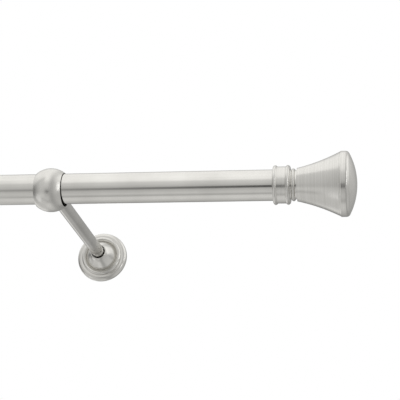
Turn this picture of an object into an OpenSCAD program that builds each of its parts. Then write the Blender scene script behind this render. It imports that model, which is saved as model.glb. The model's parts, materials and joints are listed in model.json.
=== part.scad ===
// Curtain rod on two wall brackets, with a flared finial on each end.
// +X runs along the rod, +Z is up and the wall is the plane y = 0, with the rod on its -Y side.
// The origin is midway between the two brackets, on the wall, level with the rod.

/* [Rod] */
// Outside diameter of the rod
rod_d = 25; // [24:0.5:26]
// Wall thickness of the rod tube
rod_wall = 1.2; // [1:0.1:1.8]
// Length of the rod tube
rod_len = 1200; // [900:50:2400]
// Distance of the rod's axis from the wall
reach = 180; // [120:1:200]

/* [Brackets] */
// Distance between the two brackets
bracket_span = 814; // [600:1:840]
// Diameter of the bracket's arm
arm_d = 11.5; // [11:0.5:12]
// Diameter of the ball that the ring is turned from
ball_d = 36; // [36:0.5:38]
// Width of the ring along the rod
ring_w = 22.6; // [20:0.2:22.6]
// Bore of the ring
ring_bore_d = 27.4; // [27:0.1:27.4]

/* [Wall fixing] */
// Diameter of the wall plate
plate_d = 41; // [40:0.5:41]
// Diameter of the round cover
cover_d = 47.6; // [47.6:0.2:50]
// Height of the cover from the wall to its lip
cover_h = 19.5; // [17:0.5:21]
// Distance between the two screw holes of a wall plate
screw_span = 30; // [28:0.5:31]
// Diameter of the screw holes
screw_d = 4.5; // [4:0.1:5]

/* [Finials] */
// Diameter of the finial's rim
rim_d = 52; // [50:0.5:58]
// Length of the flared trumpet, from the neck to the rim
flare_len = 33; // [32:1:40]
// Length of the collar
collar_len = 13.4; // [13:0.1:18]

/* [Hidden] */
$fn = 96;
eps = 0.01;
gap = 0.3;         // air between pieces that move past each other
fit = 0.05;        // radial clearance of a running fit
nest = 0.05;       // radial clearance of pieces that stay screwed together

rod_r = rod_d / 2;
bore_r = rod_r - rod_wall;
arm_r = arm_d / 2;
ball_r = ball_d / 2;
ring_bore_r = ring_bore_d / 2;
ring_drop = ring_bore_r - rod_r - gap;    // the screw below lifts the rod in the bore

plate_t = 3;
boss_r = 9;
boss_len = 9;      // from the wall to the boss's front
stud_r = 4;
stud_in_arm = 12;
ring_neck = 2.2;
arm_front = -reach + ball_r + ring_neck;  // the arm stops a neck's length short of the ball
arm_back = -boss_len;
neck_r = 4.2;
ring_stud_r = 2.5;
ring_stud_in_arm = 12;
ring_stud_back = arm_front + ring_stud_in_arm;
ring_stud_front = -reach + ring_bore_r + 0.9;

screw_r = 2.5;     // set screws of the rings
screw_len = 5;
screw_lean = 40;   // the ring's screw leans towards the wall from straight below
hex_depth = 2.4;
hex_w = 2.5;
grub_r = 2;        // set screws of the finials
grub_len = 2.05;
grub_hex_w = 2;

collar_web = 3;    // solid end of the collar, tapped for the finial's bolt
socket = collar_len - collar_web;         // how far the rod's end goes into the collar
collar_x = rod_len / 2 - socket;          // the collar's inner face
neck_x = collar_x + collar_len;
neck_len = 5.5;
flare_web = 8;     // solid small end of the trumpet
flare_x = neck_x + neck_len;
rim_x = flare_x + flare_len;
rim_len = 8.5;
cap_x = rim_x + rim_len;
cap_rise = 5.5;
skin = 2.2;        // radial thickness of the hollow trumpet's wall
rim_r = rim_d / 2;
rim_proud = 0.9;   // the rim stands this much outside the end of the flare
cap_edge_r = rim_r - 2.4;
mouth_r = rim_r - 5;                      // open end of the trumpet
collar_r = 14.7;
bead_r = 15.75;
flare_r = 13.3;
bolt_r = 3;

// Puts a right-hand piece on its own side: 1 is the right, -1 mirrors it to the left.
module on_side(side) {
    if (side > 0) children();
    else mirror([1, 0, 0]) children();
}

// A piece at the right bracket, turned from a profile whose x is the radius
// and whose y is the distance out from the wall.
module turned_off_wall(side) {
    on_side(side)
        translate([bracket_span / 2, 0, 0])
            rotate([90, 0, 0])
                rotate_extrude() children();
}

// A piece on the rod's axis, turned from a profile whose x is the radius
// and whose y is the distance along the rod.
module turned_on_rod(side) {
    on_side(side)
        translate([0, -reach, 0])
            rotate([0, 90, 0])
                rotate_extrude() children();
}

// Round bar along -Y at the right bracket, from y = back to y = front.
module bar(r, back, front) {
    translate([bracket_span / 2, back, 0])
        rotate([90, 0, 0])
            cylinder(r = r, h = back - front);
}

// Places a piece that stands on the rod's axis and points out along the right ring's screw,
// starting a distance from the axis.
module towards_ring_screw(start) {
    translate([bracket_span / 2, -reach, 0])
        rotate([180 + screw_lean, 0, 0])
            translate([0, 0, start]) children();
}

// Round bead of a turned profile, with its centre on the radius r at height y.
module bead(r, y, bead_radius) {
    translate([r, y]) circle(r = bead_radius, $fn = 48);
}

// Points along an arc of radius r about (cx, cy), from angle a0 to a1 in n steps.
function arc_points(cx, cy, r, a0, a1, n) =
    [for (i = [0:n]) [cx + r * cos(a0 + (a1 - a0) * i / n), cy + r * sin(a0 + (a1 - a0) * i / n)]];

// Radius of the trumpet a share t (0 to 1) of the way to the rim: a shallow concave flare.
function flare(t) = flare_r + (rim_r - rim_proud - flare_r) * (0.62 * t + 0.38 * t * t);

module rod_tube() {
    color("silver")
        translate([-rod_len / 2, -reach, 0])
            rotate([0, 90, 0])
                difference() {
                    cylinder(r = rod_r, h = rod_len);
                    translate([0, 0, -1]) cylinder(r = bore_r, h = rod_len + 2);
                }
}

// Fixing plate: a disc against the wall with a boss for the stud and two countersunk holes.
module wall_plate(side) {
    sink_r = screw_d / 2 + 2;
    sink_depth = 2;
    color("gainsboro")
        on_side(side)
            difference() {
                union() {
                    bar(plate_d / 2, 0, -plate_t);
                    bar(boss_r, -eps, -boss_len);
                }
                bar(stud_r + nest, 1, -boss_len - 1);
                for (z = [-1, 1])
                    translate([bracket_span / 2, 0, z * screw_span / 2])
                        rotate([90, 0, 0]) {
                            translate([0, 0, -1]) cylinder(r = screw_d / 2, h = plate_t + 2);
                            translate([0, 0, plate_t - sink_depth])
                                cylinder(r1 = screw_d / 2, r2 = sink_r, h = sink_depth);
                            translate([0, 0, plate_t]) cylinder(r = sink_r, h = 1);
                        }
            }
}

module plate_stud(side) {
    color("darkgray")
        on_side(side)
            bar(stud_r, -0.5, arm_back - stud_in_arm);
}

module arm(side) {
    color("silver")
        on_side(side)
            difference() {
                bar(arm_r, arm_back, arm_front);
                bar(stud_r + nest, arm_back + 1, arm_back - stud_in_arm - 0.5);
                bar(ring_stud_r + nest, ring_stud_back + 0.5, arm_front - 1);
            }
}

module ring_stud(side) {
    color("darkgray")
        on_side(side)
            bar(ring_stud_r, ring_stud_back, ring_stud_front);
}

// Ball with flat sides and a bore for the rod, a neck towards the arm and a tapped hole below.
module ring(side) {
    color("silver")
        on_side(side)
            difference() {
                union() {
                    translate([bracket_span / 2, -reach, -ring_drop])
                        rotate([0, 90, 0])
                            intersection() {
                                sphere(r = ball_r);
                                cylinder(r = ball_r + 1, h = ring_w, center = true);
                            }
                    bar(neck_r, arm_front, -reach + ring_bore_r + 1.5);
                }
                translate([bracket_span / 2, -reach, -ring_drop])
                    rotate([0, 90, 0])
                        cylinder(r = ring_bore_r, h = ring_w + 2, center = true);
                bar(ring_stud_r + nest, arm_front + 1, -reach + ring_bore_r - 2);
                towards_ring_screw(rod_r - 1) cylinder(r = screw_r + nest, h = ball_r);
            }
}

// Socket set screw: its flat end faces the rod and its hex socket faces out.
module ring_screw(side) {
    color("dimgray")
        on_side(side)
            towards_ring_screw(rod_r + gap)
                difference() {
                    cylinder(r = screw_r, h = screw_len);
                    translate([0, 0, screw_len - hex_depth])
                        cylinder(d = hex_w / cos(30), h = hex_depth + 1, $fn = 6);
                }
}

// Stepped round cover: rounded rim, rounded step, groove, and a dome with a lip round the arm.
module cover_profile() {
    rim_h = 5;
    rim_round = 3.4;
    step_r = cover_d / 2 - 4.9;
    step_round = 1.9;
    step_base = rim_h + 0.6;
    dome_r = step_r - 2 * step_round - 0.5;
    dome_base = rim_h + 1;
    lip_r = arm_r + 1.9;
    hole_r = arm_r + 0.7;
    lip_round = (lip_r - hole_r) / 2;
    lip_base = cover_h - lip_round;
    steps = 14;
    difference() {
        polygon(concat(
            [[hole_r, 0], [cover_d / 2, 0]],
            arc_points(cover_d / 2 - rim_round, rim_h - rim_round, rim_round, 0, 90, 12),
            [[step_r, rim_h]],
            arc_points(step_r - step_round, step_base, step_round, 0, 180, 14),
            [for (i = [0:steps]) let (u = i / steps)
                [dome_r + (lip_r - dome_r) * u,
                 dome_base + (lip_base - 0.4 - dome_base) * (0.5 * u + 0.5 * sin(90 * u))]],
            arc_points(hole_r + lip_round, lip_base, lip_round, 0, 180, 8)
        ));
        // the hollow that takes the wall plate and its boss
        translate([0, -1]) square([plate_d / 2 + fit, plate_t + 1 + gap]);
        translate([0, -1]) square([dome_r - 1, rim_h + 0.4]);
        translate([0, -1]) square([boss_r + 1, boss_len + 1 + gap]);
        translate([0, -1]) square([hole_r, cover_h + 5]);
    }
}

module cover(side) {
    color("silver")
        turned_off_wall(side) cover_profile();
}

// Sleeve over the rod's end with a bead at each edge.
module collar(side) {
    bead_in = 1.7;
    color("silver")
        difference() {
            turned_on_rod(side)
                difference() {
                    union() {
                        translate([0, collar_x + 0.3]) square([collar_r, collar_len - 0.3]);
                        translate([0, collar_x]) square([bead_r - 1.2, collar_len]);
                        bead(bead_r - bead_in, collar_x + bead_in, bead_in);
                        bead(bead_r - bead_in, collar_x + collar_len - bead_in, bead_in);
                    }
                    translate([0, collar_x - 1]) square([rod_r + fit, socket + 1]);
                    translate([0, collar_x]) square([bolt_r + nest, collar_len + 1]);
                }
            on_side(side)
                translate([collar_x + collar_len / 2, -reach, 0])
                    cylinder(r = grub_r + nest, h = bead_r + 2);
        }
}

module neck(side) {
    waist_r = 11.6;
    color("silver")
        turned_on_rod(side)
            difference() {
                union() {
                    translate([0, neck_x]) square([waist_r, neck_len]);
                    bead(waist_r - 0.2, neck_x + neck_len / 2 - 0.2, 1.6);
                }
                translate([0, neck_x - 1]) square([bolt_r + nest, neck_len + 2]);
            }
}

// Hollow flared body with a rounded rim; a solid web at its small end takes the bolt.
module trumpet(side) {
    steps = 16;
    front_round = 2.2;
    back_round = 3.2;
    hollow_from = floor(steps * flare_web / flare_len) + 1;
    color("silver")
        turned_on_rod(side)
            difference() {
                polygon(concat(
                    [[0, flare_x]],
                    [for (i = [0:steps]) [flare(i / steps), flare_x + flare_len * i / steps]],
                    arc_points(rim_r - front_round, rim_x + front_round, front_round, -45, 0, 8),
                    arc_points(rim_r - back_round, cap_x - back_round, back_round, 0, 65, 10),
                    [[cap_edge_r, cap_x], [0, cap_x]]
                ));
                polygon(concat(
                    [[0, flare_x + flare_web]],
                    [[flare(flare_web / flare_len) - skin, flare_x + flare_web]],
                    [for (i = [hollow_from:steps])
                        [flare(i / steps) - skin, flare_x + flare_len * i / steps]],
                    [[mouth_r, rim_x + 1], [mouth_r, cap_x + 1], [0, cap_x + 1]]
                ));
                translate([0, flare_x - 1]) square([bolt_r + nest, flare_web + 2]);
            }
}

// Shallow domed cap with a hollow spigot pressed into the trumpet's mouth.
module end_cap(side) {
    spigot = 4;
    spigot_wall = 2.4;
    dome_r = (cap_edge_r * cap_edge_r + cap_rise * cap_rise) / (2 * cap_rise);
    color("silver")
        turned_on_rod(side)
            difference() {
                union() {
                    intersection() {
                        translate([0, cap_x + cap_rise - dome_r]) circle(r = dome_r, $fn = 180);
                        translate([0, cap_x]) square([cap_edge_r, cap_rise + 1]);
                    }
                    translate([0, cap_x - spigot]) square([mouth_r - nest, spigot + eps]);
                }
                translate([0, cap_x - spigot - 1]) square([mouth_r - spigot_wall, spigot + 2.5]);
            }
}

// Socket-head bolt from inside the trumpet, through the neck and into the collar's web.
module finial_bolt(side) {
    head_x = flare_x + flare_web;
    head_r = 5;
    head_h = 5.5;
    socket_w = 5;
    socket_depth = 3;
    color("dimgray")
        difference() {
            turned_on_rod(side)
                union() {
                    translate([0, collar_x + socket]) square([bolt_r, head_x - collar_x - socket + eps]);
                    translate([0, head_x]) square([head_r, head_h]);
                }
            on_side(side)
                translate([head_x + head_h - socket_depth, -reach, 0])
                    rotate([0, 90, 0])
                        cylinder(d = socket_w / cos(30), h = socket_depth + 1, $fn = 6);
        }
}

// Set screw in the top of the collar, pointing at the rod.
module collar_screw(side) {
    floor_t = 0.7;
    color("dimgray")
        on_side(side)
            translate([collar_x + collar_len / 2, -reach, rod_r + 0.1])
                difference() {
                    cylinder(r = grub_r, h = grub_len);
                    translate([0, 0, floor_t]) cylinder(d = grub_hex_w / cos(30), h = grub_len, $fn = 6);
                }
}

rod_tube();
wall_plate(1);  // right_wall_plate
wall_plate(-1);  // left_wall_plate
plate_stud(1);  // right_plate_stud
plate_stud(-1);  // left_plate_stud
arm(1);  // right_arm
arm(-1);  // left_arm
ring_stud(1);  // right_ring_stud
ring_stud(-1);  // left_ring_stud
ring(1);  // right_ring
ring(-1);  // left_ring
ring_screw(1);  // right_ring_screw
ring_screw(-1);  // left_ring_screw
cover(1);  // right_cover
cover(-1);  // left_cover
collar(1);  // right_collar
collar(-1);  // left_collar
neck(1);  // right_neck
neck(-1);  // left_neck
trumpet(1);  // right_trumpet
trumpet(-1);  // left_trumpet
end_cap(1);  // right_end_cap
end_cap(-1);  // left_end_cap
finial_bolt(1);  // right_finial_bolt
finial_bolt(-1);  // left_finial_bolt
collar_screw(1);  // right_collar_screw
collar_screw(-1);  // left_collar_screw
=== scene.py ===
# Curtain rod with two wall brackets, in satin brushed nickel, hanging in a pale studio.
import json
import math

import bmesh
import bpy
from mathutils import Matrix, Vector


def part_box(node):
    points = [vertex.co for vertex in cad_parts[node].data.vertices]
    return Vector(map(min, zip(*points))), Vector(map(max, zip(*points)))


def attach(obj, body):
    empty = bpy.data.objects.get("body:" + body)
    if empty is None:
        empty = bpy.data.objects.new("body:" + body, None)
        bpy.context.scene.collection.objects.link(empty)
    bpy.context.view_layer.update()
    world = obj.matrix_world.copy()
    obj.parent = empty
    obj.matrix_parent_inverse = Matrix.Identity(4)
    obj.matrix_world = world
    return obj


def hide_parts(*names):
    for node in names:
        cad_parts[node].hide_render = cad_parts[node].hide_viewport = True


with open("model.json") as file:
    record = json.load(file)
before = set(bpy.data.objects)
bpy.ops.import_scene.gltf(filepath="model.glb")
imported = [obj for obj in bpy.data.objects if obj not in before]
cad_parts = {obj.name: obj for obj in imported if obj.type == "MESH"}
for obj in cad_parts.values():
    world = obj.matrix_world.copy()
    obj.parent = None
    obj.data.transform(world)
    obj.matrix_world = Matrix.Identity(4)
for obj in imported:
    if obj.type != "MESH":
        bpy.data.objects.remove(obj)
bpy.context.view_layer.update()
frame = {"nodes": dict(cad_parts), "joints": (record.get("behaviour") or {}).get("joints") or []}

MM = 0.001
SIDES = ("right", "left")


def middle(node):
    """The middle of a CAD node's box, read from the frame."""
    low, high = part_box(node)
    return (Vector(low) + Vector(high)) / 2


# ---------------------------------------------------------------- materials
class Nodes:
    """A short way to build one material's node tree."""

    def __init__(self, name):
        self.material = bpy.data.materials.new(name)
        self.material.use_nodes = True
        self.tree = self.material.node_tree
        self.shader = self.tree.nodes["Principled BSDF"]

    def add(self, kind, **values):
        node = self.tree.nodes.new(kind)
        for key, value in values.items():
            if hasattr(node, key):
                setattr(node, key, value)
            else:
                node.inputs[key.replace("_", " ")].default_value = value
        return node

    def link(self, source, target):
        self.tree.links.new(source, target)

    def math(self, operation, first, second):
        node = self.add("ShaderNodeMath", operation=operation)
        for socket, value in zip(node.inputs, (first, second)):
            if isinstance(value, (int, float)):
                socket.default_value = value
            else:
                self.link(value, socket)
        return node.outputs[0]

    def mix(self, first, second, share):
        """The first value's share and the rest of the second."""
        return self.math("ADD", self.math("MULTIPLY", first, share),
                         self.math("MULTIPLY", second, 1.0 - share))

    def noise(self, vector, scale, detail=3.0):
        node = self.add("ShaderNodeTexNoise", Scale=scale, Detail=detail)
        self.link(vector, node.inputs["Vector"])
        return node.outputs["Fac"]

    def ramp(self, factor, stops):
        node = self.add("ShaderNodeValToRGB")
        elements = node.color_ramp.elements
        while len(elements) < len(stops):
            elements.new(0.5)
        for element, (place, colour) in zip(elements, stops):
            element.position = place
            element.color = (*colour, 1.0)
        self.link(factor, node.inputs["Fac"])
        return node.outputs["Color"]

    def range(self, factor, low, high):
        node = self.add("ShaderNodeMapRange")
        node.inputs["To Min"].default_value = low
        node.inputs["To Max"].default_value = high
        self.link(factor, node.inputs["Value"])
        return node.outputs["Result"]

    def object_point(self):
        return self.add("ShaderNodeTexCoord").outputs["Object"]

    def stretched(self, scale):
        mapping = self.add("ShaderNodeMapping")
        mapping.inputs["Scale"].default_value = scale
        self.link(self.object_point(), mapping.inputs["Vector"])
        return mapping.outputs["Vector"]


# How often the clouds and the smudges repeat, a metre.
CLOUDS = 38.0
SMUDGES = 260.0
# How far the gloss strays below and above a metal's roughness, and how much of that the lines cause.
SMOOTHER = 0.05
ROUGHER = 0.07
LINE_WEAR = 0.6
LINE_HEIGHT = 0.04 * MM


def brushed_metal(name, light, dark, roughness, grain, line_bump, line_tint=0.3):
    """Brushed or satin metal. grain is how often the fine lines repeat along X, Y and Z, a metre, and
    line_tint is the lines' share in the colour. Broad clouds and fine smudges vary the colour and the
    gloss the way plating and handling do."""
    n = Nodes(name)
    lines = n.noise(n.stretched(grain), 1.0, 4.0)
    clouds = n.noise(n.object_point(), CLOUDS, 3.0)
    smudge = n.noise(n.object_point(), SMUDGES, 5.0)
    tint = n.mix(lines, clouds, line_tint)
    n.link(n.ramp(tint, [(0.34, dark), (0.66, light)]), n.shader.inputs["Base Color"])
    n.shader.inputs["Metallic"].default_value = 1.0
    wear = n.mix(lines, smudge, LINE_WEAR)
    n.link(n.range(wear, roughness - SMOOTHER, roughness + ROUGHER), n.shader.inputs["Roughness"])
    bump = n.add("ShaderNodeBump", Strength=line_bump, Distance=LINE_HEIGHT)
    n.link(lines, bump.inputs["Height"])
    n.link(bump.outputs["Normal"], n.shader.inputs["Normal"])
    return n.material


NICKEL_LIGHT = (0.81, 0.80, 0.775)
NICKEL_DARK = (0.71, 0.70, 0.675)


def drawn_nickel():
    """The rod: long fine lines along X."""
    lines = (6.0, 2200.0, 2200.0)
    return brushed_metal("nickel_drawn", NICKEL_LIGHT, NICKEL_DARK, 0.12, lines, 0.08)


def turned_nickel():
    """The finials: fine lines round the rod's axis, so they repeat along X."""
    lines = (900.0, 14.0, 14.0)
    return brushed_metal("nickel_turned", NICKEL_LIGHT, NICKEL_DARK, 0.21, lines, 0.25, 0.75)


def satin_nickel():
    """The rings and end caps: satin plate over a smooth casting."""
    grain = (420.0, 420.0, 420.0)
    return brushed_metal("nickel_satin", NICKEL_LIGHT, NICKEL_DARK, 0.25, grain, 0.02, 0.15)


def arm_nickel():
    """The arms: fine lines round the arm, so they repeat along Y."""
    lines = (14.0, 1200.0, 14.0)
    return brushed_metal("nickel_arm", NICKEL_LIGHT, NICKEL_DARK, 0.17, lines, 0.05)


def spun_nickel():
    """The covers, spun on a lathe."""
    lines = (40.0, 900.0, 40.0)
    return brushed_metal("nickel_spun", NICKEL_LIGHT, NICKEL_DARK, 0.19, lines, 0.0, 0.2)


def zinc_plate():
    """The wall plates and the studs."""
    light, dark = (0.74, 0.75, 0.76), (0.58, 0.60, 0.62)
    return brushed_metal("zinc_plated", light, dark, 0.34, (420.0, 420.0, 420.0), 0.4)


def screw_steel():
    """The set screws and the finials' bolts."""
    light, dark = (0.22, 0.22, 0.23), (0.10, 0.10, 0.11)
    return brushed_metal("black_screw_steel", light, dark, 0.38, (900.0, 900.0, 900.0), 0.4)


MATERIALS = {
    "rod_tube": drawn_nickel(),
    "ring": satin_nickel(),
    "arm": arm_nickel(),
    "cover": spun_nickel(),
    "collar": turned_nickel(),
    "wall_plate": zinc_plate(),
    "ring_screw": screw_steel(),
}
SHARED = {
    "neck": "collar",
    "trumpet": "collar",
    "end_cap": "ring",
    "plate_stud": "wall_plate",
    "ring_stud": "wall_plate",
    "finial_bolt": "ring_screw",
    "collar_screw": "ring_screw",
}
for kind, lender in SHARED.items():
    MATERIALS[kind] = MATERIALS[lender]


def dress_cad_nodes():
    """Gives every CAD node its material. A node's kind is its name without the side."""
    for name, node in frame["nodes"].items():
        kind = name if name == "rod_tube" else name.split("_", 1)[1]
        node.data.materials.clear()
        node.data.materials.append(MATERIALS[kind])


# ---------------------------------------------------------------- threaded set screws
# Each kind's thread pitch, width across the hex socket's flats and depth of the socket.
SCREWS = {
    "ring_screw": (0.8 * MM, 2.5 * MM, 2.4 * MM),
    "collar_screw": (0.7 * MM, 2.0 * MM, 1.3 * MM),
}
SCREW_SEGMENTS = 48
ROWS_PER_PITCH = 8
# The thread's depth and the length of the chamfers at the screw's ends, in pitches, and their slope.
THREAD_DEPTH = 0.45
CHAMFER = 0.8
CHAMFER_SLOPE = 0.6


def joint_axis(name):
    """The direction in which a joint moves."""
    return Vector(next(joint["axis"] for joint in frame["joints"] if joint["name"] == name)).normalized()


def thread_profile(turn):
    """0 at a thread's crest and 1 at its root, for a place given in turns."""
    return 1.0 - abs(2.0 * (turn % 1.0) - 1.0)


def set_screw(node, pitch, hex_width, hex_depth):
    """Replaces a CAD screw by a headless one with a cut thread, a flat tip and a hex socket in its
    outward end. The radius and the length come from the CAD screw's box."""
    low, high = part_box(node)
    outward = joint_axis(node + "_turn_out")
    radius = (high[0] - low[0]) / 2
    lean = math.hypot(outward.x, outward.y)
    height = high[2] - low[2]
    length = (height - 2 * radius * lean) / abs(outward.z)
    rows = int(length / pitch * ROWS_PER_PITCH)
    rings = []
    for row in range(rows + 1):
        along = length * row / rows
        from_end = min(along, length - along)
        crest = radius - max(0.0, CHAMFER * pitch - from_end) * CHAMFER_SLOPE
        ring = []
        for step in range(SCREW_SEGMENTS):
            turn = step / SCREW_SEGMENTS
            cut = THREAD_DEPTH * pitch * thread_profile(along / pitch - turn)
            ring.append((min(crest, radius - cut), turn, along))
        rings.append(ring)

    def hexagon(turn):
        corner = (turn * 6) % 1.0 - 0.5
        return hex_width / 2 / math.cos(corner * math.pi / 3)

    for along in (length, length - hex_depth):
        turns = [step / SCREW_SEGMENTS for step in range(SCREW_SEGMENTS)]
        rings.append([(hexagon(turn), turn, along) for turn in turns])

    mesh_maker = bmesh.new()
    places = [[mesh_maker.verts.new((r * math.cos(math.tau * t), r * math.sin(math.tau * t), h))
               for r, t, h in ring] for ring in rings]
    for lower, upper in zip(places, places[1:]):
        for step in range(SCREW_SEGMENTS):
            following = (step + 1) % SCREW_SEGMENTS
            mesh_maker.faces.new((lower[step], lower[following], upper[following], upper[step]))
    mesh_maker.faces.new(list(reversed(places[0])))
    mesh_maker.faces.new(places[-1])
    mesh = bpy.data.meshes.new(node + "_threaded")
    mesh_maker.to_mesh(mesh)
    mesh_maker.free()
    tip = middle(node) - outward * (length / 2)
    mesh.transform(Matrix.Translation(tip) @ outward.to_track_quat("Z", "Y").to_matrix().to_4x4())
    mesh.materials.append(MATERIALS["ring_screw"])
    piece = bpy.data.objects.new(mesh.name, mesh)
    bpy.context.scene.collection.objects.link(piece)
    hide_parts(node)
    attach(piece, node)


# ---------------------------------------------------------------- studio
FLOOR_HALF = 6.0
FLOOR_DROP = 1.25
PAPER_DARK = (0.80, 0.80, 0.80)
PAPER_LIGHT = (0.84, 0.84, 0.84)


def floor():
    """A pale paper floor well below the rod. The metal doesn't mirror it."""
    mesh = bpy.data.meshes.new("studio_floor")
    corners = [(-1, -1), (1, -1), (1, 1), (-1, 1)]
    mesh.from_pydata([(x * FLOOR_HALF, y * FLOOR_HALF, -FLOOR_DROP) for x, y in corners],
                     [], [(0, 1, 2, 3)])
    plane = bpy.data.objects.new("studio_floor", mesh)
    bpy.context.scene.collection.objects.link(plane)
    n = Nodes("studio_paper")
    paper = n.ramp(n.noise(n.object_point(), 3.0), [(0.3, PAPER_DARK), (0.7, PAPER_LIGHT)])
    n.link(paper, n.shader.inputs["Base Color"])
    n.shader.inputs["Roughness"].default_value = 0.9
    mesh.materials.append(n.material)
    plane.visible_glossy = False


# What the metal mirrors: brightness against the angle round the rod's axis. 0 degrees faces the front
# (-Y), 90 is straight up, -90 straight down and 180 is the wall side.
BANDS_MIDDLE = [(-180, 0.30), (-156, 0.46), (-136, 0.60), (-116, 0.72), (-94, 0.70), (-87, 0.48),
                (-80, 0.48), (-70, 0.64), (-56, 0.60), (-44, 0.52), (-12, 0.54), (0, 0.64), (18, 0.72),
                (32, 1.02), (64, 1.08), (114, 1.06), (130, 0.72), (150, 0.34), (180, 0.30)]
# The same for the far left of the room, which the flared finial mirrors.
BANDS_LEFT = [(-180, 0.40), (-170, 0.86), (-155, 0.86), (-140, 0.64), (-120, 0.62), (-84, 0.66),
              (-74, 0.50), (-68, 0.50), (-58, 0.68), (-44, 0.68), (-33, 0.54), (-24, 0.56), (-12, 0.60),
              (10, 0.63), (40, 0.66), (50, 0.70), (57, 1.02), (112, 1.05), (135, 0.70), (160, 0.36),
              (180, 0.34)]
# And for the right of the room, which the end cap mirrors.
BANDS_RIGHT = [(-180, 0.32), (-150, 0.34), (-125, 0.42), (-60, 0.36), (0, 0.42), (25, 0.48),
               (60, 0.72), (90, 0.80), (125, 0.66), (150, 0.42), (180, 0.32)]
# Where each part of the room gives way to the next, in the sideways direction from -1 to 1.
LEFT_EDGE = (-0.30, -0.38)
RIGHT_EDGE = (-0.04, 0.18)
# The ends of the room: shade towards the far left, more light towards the far right.
ENDS = [(-1.0, 0.34), (-0.96, 0.46), (-0.88, 0.80), (-0.80, 0.83), (-0.71, 1.0), (0.32, 1.0),
        (0.55, 1.42), (1.0, 1.42)]
# A dark flag low in front draws the rod's dark line: its angle, half its width, its soft edge, the
# brightness that it leaves, and its strength against the sideways direction.
FLAG_ANGLE = -28.0
FLAG_HALF = 8.0
FLAG_EDGE = 3.0
FLAG_LEVEL = 0.12
FLAG_ALONG = [(-1.0, 0.0), (-0.42, 0.0), (-0.30, 0.35), (-0.17, 0.75), (-0.10, 1.0), (-0.03, 1.0),
              (0.05, 0.0), (1.0, 0.0)]
ROOM_TINT = (1.0, 0.995, 0.975, 1.0)
WHITE = (1.0, 1.0, 1.0, 1.0)


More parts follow.
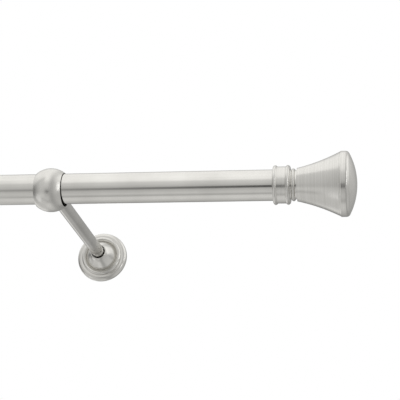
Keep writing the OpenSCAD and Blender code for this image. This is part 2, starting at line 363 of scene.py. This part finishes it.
def studio_world():
    """A pale room whose brightness changes with the direction, and a white backdrop."""
    world = bpy.data.worlds.new("studio")
    bpy.context.scene.world = world
    world.use_nodes = True
    tree = world.node_tree
    tree.nodes.clear()

    def add(kind, *sources, **values):
        node = tree.nodes.new(kind)
        for key, value in values.items():
            setattr(node, key, value)
        for socket, source in zip(node.inputs, sources):
            if isinstance(source, bpy.types.NodeSocket):
                tree.links.new(source, socket)
            elif source is not None:
                socket.default_value = source
        return node

    def lookup(value, limit, steps):
        share = add("ShaderNodeMapRange", value, -limit, limit, 0.0, 1.0)
        ramp = add("ShaderNodeValToRGB", share.outputs["Result"])
        elements = ramp.color_ramp.elements
        while len(elements) < len(steps):
            elements.new(0.5)
        for element, (place, level) in zip(elements, steps):
            element.position = (place + limit) / (2 * limit)
            element.color = (level, level, level, 1.0)
        return ramp.outputs["Color"]

    def maths(operation, first, second=None):
        return add("ShaderNodeMath", first, second, operation=operation).outputs[0]

    def blend(first, second, value, edge):
        share = add("ShaderNodeMapRange", value, *edge, 0.0, 1.0).outputs["Result"]
        return maths("ADD", maths("MULTIPLY", first, maths("SUBTRACT", 1.0, share)),
                     maths("MULTIPLY", second, share))

    x, y, z = add("ShaderNodeSeparateXYZ", add("ShaderNodeTexCoord").outputs["Generated"]).outputs
    degrees = maths("DEGREES", maths("ARCTAN2", z, maths("MULTIPLY", y, -1.0)))
    middle_part, left_part, right_part = [lookup(degrees, 180.0, bands)
                                          for bands in (BANDS_MIDDLE, BANDS_LEFT, BANDS_RIGHT)]
    level = blend(blend(middle_part, left_part, x, LEFT_EDGE), right_part, x, RIGHT_EDGE)
    level = maths("MULTIPLY", level, lookup(x, 1.0, ENDS))
    distance = maths("ABSOLUTE", maths("SUBTRACT", degrees, FLAG_ANGLE))
    across = add("ShaderNodeMapRange", distance, FLAG_HALF - FLAG_EDGE, FLAG_HALF + FLAG_EDGE, 1.0, 0.0)
    flag = maths("MULTIPLY", across.outputs["Result"], lookup(x, 1.0, FLAG_ALONG))
    left_over = add("ShaderNodeMapRange", flag, 0.0, 1.0, 1.0, FLAG_LEVEL).outputs["Result"]
    mirrored = add("ShaderNodeBackground", ROOM_TINT, maths("MULTIPLY", level, left_over))
    backdrop = add("ShaderNodeBackground", WHITE)
    rays = add("ShaderNodeLightPath")
    choose = add("ShaderNodeMixShader", rays.outputs["Is Camera Ray"], mirrored.outputs[0],
                 backdrop.outputs[0])
    add("ShaderNodeOutputWorld", choose.outputs[0])
    bpy.context.scene.view_settings.view_transform = "Standard"


SOFTBOX_DISTANCE = 2.0


def softbox(name, direction, width, height, brightness):
    """A soft area light that faces the right bracket's ring. direction points from the ring to it."""
    data = bpy.data.lights.new(name, "AREA")
    data.shape = "RECTANGLE"
    data.size, data.size_y = width, height
    data.energy = brightness * math.pi * width * height
    lamp = bpy.data.objects.new(name, data)
    bpy.context.scene.collection.objects.link(lamp)
    away = Vector(direction).normalized()
    place = Matrix.Translation(middle("right_ring") + away * SOFTBOX_DISTANCE)
    lamp.matrix_world = place @ away.to_track_quat("Z", "Y").to_matrix().to_4x4()


LENS = 103.0
SENSOR = 36.0
# How far the camera turns to the left of straight at the wall, tilts up and rolls.
TURN = math.radians(9.914)
TILT = math.radians(20.904)
ROLL = math.radians(2.649)
# From the rod's axis in the right ring to the camera.
STAND = Vector((270.9, -841.0, -337.7)) * MM


def camera():
    """The view of a product shot: a long lens from below and a little from the right."""
    data = bpy.data.cameras.new("camera")
    cam = bpy.data.objects.new("camera", data)
    bpy.context.scene.collection.objects.link(cam)
    data.lens = LENS
    data.sensor_width = SENSOR
    forward = Vector((-math.sin(TURN) * math.cos(TILT), math.cos(TURN) * math.cos(TILT), math.sin(TILT)))
    level = Vector((math.cos(TURN), math.sin(TURN), 0.0))
    above = level.cross(forward)
    side = math.cos(ROLL) * level + math.sin(ROLL) * above
    up = math.cos(ROLL) * above - math.sin(ROLL) * level
    rod_axis = middle("rod_tube")
    stand = Vector((middle("right_ring").x, rod_axis.y, rod_axis.z)) + STAND
    cam.matrix_world = Matrix.Translation(stand) @ Matrix((side, up, -forward)).transposed().to_4x4()
    bpy.context.scene.camera = cam


# ---------------------------------------------------------------- the scene
dress_cad_nodes()
for side_name in SIDES:
    for screw, sizes in SCREWS.items():
        set_screw(side_name + "_" + screw, *sizes)
floor()
studio_world()
softbox("strip_right", (0.775, -0.62, 0.06), 0.40, 1.3, 1.1)
softbox("box_low_left", (-0.77, -0.11, -0.58), 0.9, 0.9, 0.3)
camera()
